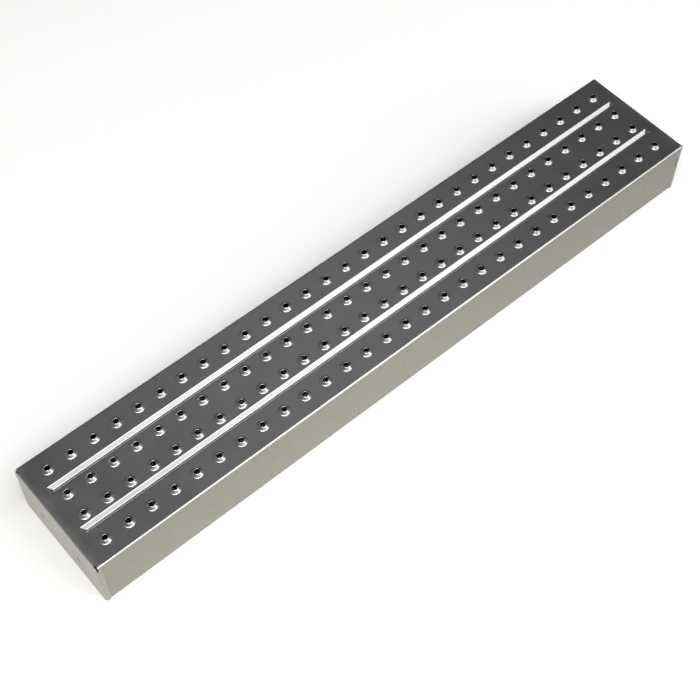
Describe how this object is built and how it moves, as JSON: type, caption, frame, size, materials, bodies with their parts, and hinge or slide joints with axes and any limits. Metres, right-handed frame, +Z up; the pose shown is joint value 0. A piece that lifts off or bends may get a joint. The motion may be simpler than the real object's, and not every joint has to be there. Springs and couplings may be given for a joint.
{
  "type": "perforated baguette tray",
  "caption": "Long narrow sheet-steel tray, open underneath, with a deck of raised round holes and two pressed grooves, and a folded cap welded on each end.",
  "frame": {"origin": "middle of the tray, on the surface that its lower edges stand on", "axes": "+X along the tray to the right end, +Y to the back, +Z up out of the deck"},
  "size_m": [0.598, 0.104, 0.0542],
  "materials": {
    "deck_sheet": "cold-rolled stainless sheet, satin, with a faint grain along the tray",
    "cap_sheet": "cold-rolled stainless sheet, satin, dressed by hand along its welded edges",
    "weld_metal": "as-welded stainless bead, rippled and lightly heat-tinted"
  },
  "bodies": {
    "root": {"perforated_channel": "deck_sheet", "left_end_cap": "cap_sheet", "right_end_cap": "cap_sheet", "weld_front_left": "weld_metal", "weld_back_left": "weld_metal", "weld_top_left": "weld_metal", "weld_front_right": "weld_metal", "weld_back_right": "weld_metal", "weld_top_right": "weld_metal"}
  },
  "joints": []
}
